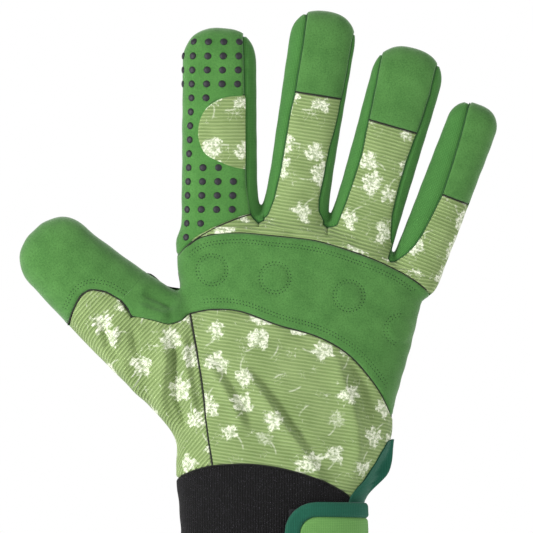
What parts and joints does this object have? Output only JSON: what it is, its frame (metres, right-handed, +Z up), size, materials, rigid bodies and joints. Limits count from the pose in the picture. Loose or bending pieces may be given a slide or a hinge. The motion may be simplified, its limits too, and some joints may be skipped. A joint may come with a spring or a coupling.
{
  "type": "gardening glove",
  "caption": "Gardening glove for the right hand: print-fabric back, suede knuckle bar and tips, dotted grip cloth, elastic cuff with a hook-and-loop strap; fingers bend.",
  "frame": {"origin": "centre of the wrist opening in the plane of the hem", "axes": "+Z up the hand to the fingertips, +X to the side of the little finger, -Y out of the back of the hand"},
  "size_m": [0.1995, 0.0446, 0.2474],
  "materials": {
    "suede": "green synthetic suede with a fine nap",
    "dotted_suede": "green synthetic suede with raised black grip dots",
    "print_fabric": "ribbed stretch fabric, olive green with a white flower print",
    "side_fabric": "green stretch fabric between the fingers",
    "elastic": "black knitted elastic",
    "binding": "teal folded binding tape",
    "strap_fabric": "light green brushed fabric",
    "hook_tape": "moulded hooks",
    "loop_tape": "soft loop pile",
    "foam": "soft foam"
  },
  "bodies": {
    "hand": {"hem_binding": "binding", "index_knuckle_pad": "foam", "knuckle_bar": "suede", "little_knuckle_pad": "foam", "loop_patch": "loop_tape", "lower_back_panel": "print_fabric", "middle_knuckle_pad": "foam", "palm_cuff": "dotted_suede", "palm_panel": "dotted_suede", "palm_thumb_panel": "dotted_suede", "ring_knuckle_pad": "foam", "slit_binding": "binding", "thumb_back_panel": "print_fabric", "thumb_web_gusset": "suede", "upper_back_panel": "print_fabric", "wrist_elastic": "elastic"},
    "strap": {"wrist_strap": "strap_fabric", "strap_binding": "binding", "hook_patch": "hook_tape"},
    "index_base": {"index_back_lower": "dotted_suede", "index_flex_inset_lower": "print_fabric", "index_palm_lower": "dotted_suede", "index_radial_wrap_lower": "dotted_suede", "index_ulnar_fourchette_lower": "side_fabric"},
    "index_tip": {"index_back_upper": "dotted_suede", "index_flex_inset_upper": "print_fabric", "index_palm_upper": "dotted_suede", "index_sides_upper": "side_fabric"},
    "middle_base": {"middle_back_lower": "print_fabric", "middle_palm_lower": "dotted_suede", "middle_radial_fourchette_lower": "side_fabric", "middle_ulnar_fourchette_lower": "side_fabric"},
    "middle_tip": {"middle_back_upper": "print_fabric", "middle_palm_upper": "dotted_suede", "middle_sides_upper": "side_fabric", "middle_tip_cap": "suede"},
    "ring_base": {"ring_back_lower": "print_fabric", "ring_palm_lower": "dotted_suede", "ring_radial_fourchette_lower": "side_fabric", "ring_ulnar_fourchette_lower": "side_fabric"},
    "ring_tip": {"ring_back_upper": "print_fabric", "ring_palm_upper": "dotted_suede", "ring_sides_upper": "side_fabric", "ring_tip_cap": "suede"},
    "little_base": {"little_back_lower": "print_fabric", "little_palm_lower": "dotted_suede", "little_radial_fourchette_lower": "side_fabric", "little_ulnar_wrap_lower": "print_fabric"},
    "little_tip": {"little_back_upper": "print_fabric", "little_palm_upper": "dotted_suede", "little_sides_upper": "side_fabric", "little_tip_cap": "suede"},
    "thumb_base": {"thumb_back_lower": "print_fabric", "thumb_palm_lower": "dotted_suede", "thumb_radial_wrap_lower": "dotted_suede", "thumb_ulnar_fourchette_lower": "side_fabric"},
    "thumb_tip": {"thumb_palm_upper": "dotted_suede", "thumb_sides_upper": "side_fabric", "thumb_tip_cap": "suede"}
  },
  "joints": [
    {"name": "index_base_knuckle", "type": "hinge", "parent": "hand", "child": "index_base", "pos_m": [-0.021, 0, 0.157], "axis": [-1, 0, 0], "range_deg": [0, 60]},
    {"name": "index_middle_knuckle", "type": "hinge", "parent": "index_base", "child": "index_tip", "pos_m": [-0.021, 0, 0.195], "axis": [-1, 0, 0], "range_deg": [0, 75]},
    {"name": "middle_base_knuckle", "type": "hinge", "parent": "hand", "child": "middle_base", "pos_m": [0.0096, 0, 0.157], "axis": [-0.9877, 0, 0.1564], "range_deg": [0, 58]},
    {"name": "middle_middle_knuckle", "type": "hinge", "parent": "middle_base", "child": "middle_tip", "pos_m": [0.01586, 0, 0.19651], "axis": [-0.9877, 0, 0.1564], "range_deg": [0, 70]},
    {"name": "ring_base_knuckle", "type": "hinge", "parent": "hand", "child": "ring_base", "pos_m": [0.0372, 0, 0.15], "axis": [-0.9617, 0, 0.274], "range_deg": [0, 58]},
    {"name": "ring_middle_knuckle", "type": "hinge", "parent": "ring_base", "child": "ring_tip", "pos_m": [0.04734, 0, 0.18558], "axis": [-0.9617, 0, 0.274], "range_deg": [0, 70]},
    {"name": "little_base_knuckle", "type": "hinge", "parent": "hand", "child": "little_base", "pos_m": [0.061, 0, 0.14], "axis": [-0.9336, 0, 0.3584], "range_deg": [0, 60]},
    {"name": "little_middle_knuckle", "type": "hinge", "parent": "little_base", "child": "little_tip", "pos_m": [0.07103, 0, 0.16614], "axis": [-0.9336, 0, 0.3584], "range_deg": [0, 75]},
    {"name": "thumb_base_knuckle", "type": "hinge", "parent": "hand", "child": "thumb_base", "pos_m": [-0.0603, 0, 0.1168], "axis": [-0.6947, 0, -0.7193], "range_deg": [0, 45]},
    {"name": "thumb_middle_knuckle", "type": "hinge", "parent": "thumb_base", "child": "thumb_tip", "pos_m": [-0.07612, 0, 0.13208], "axis": [-0.6947, 0, -0.7193], "range_deg": [0, 60]},
    {"name": "strap_hinge", "type": "hinge", "parent": "hand", "child": "strap", "pos_m": [0.0415, -0.004, 0.026], "axis": [0, 0, 1], "range_deg": [0, 110]}
  ]
}
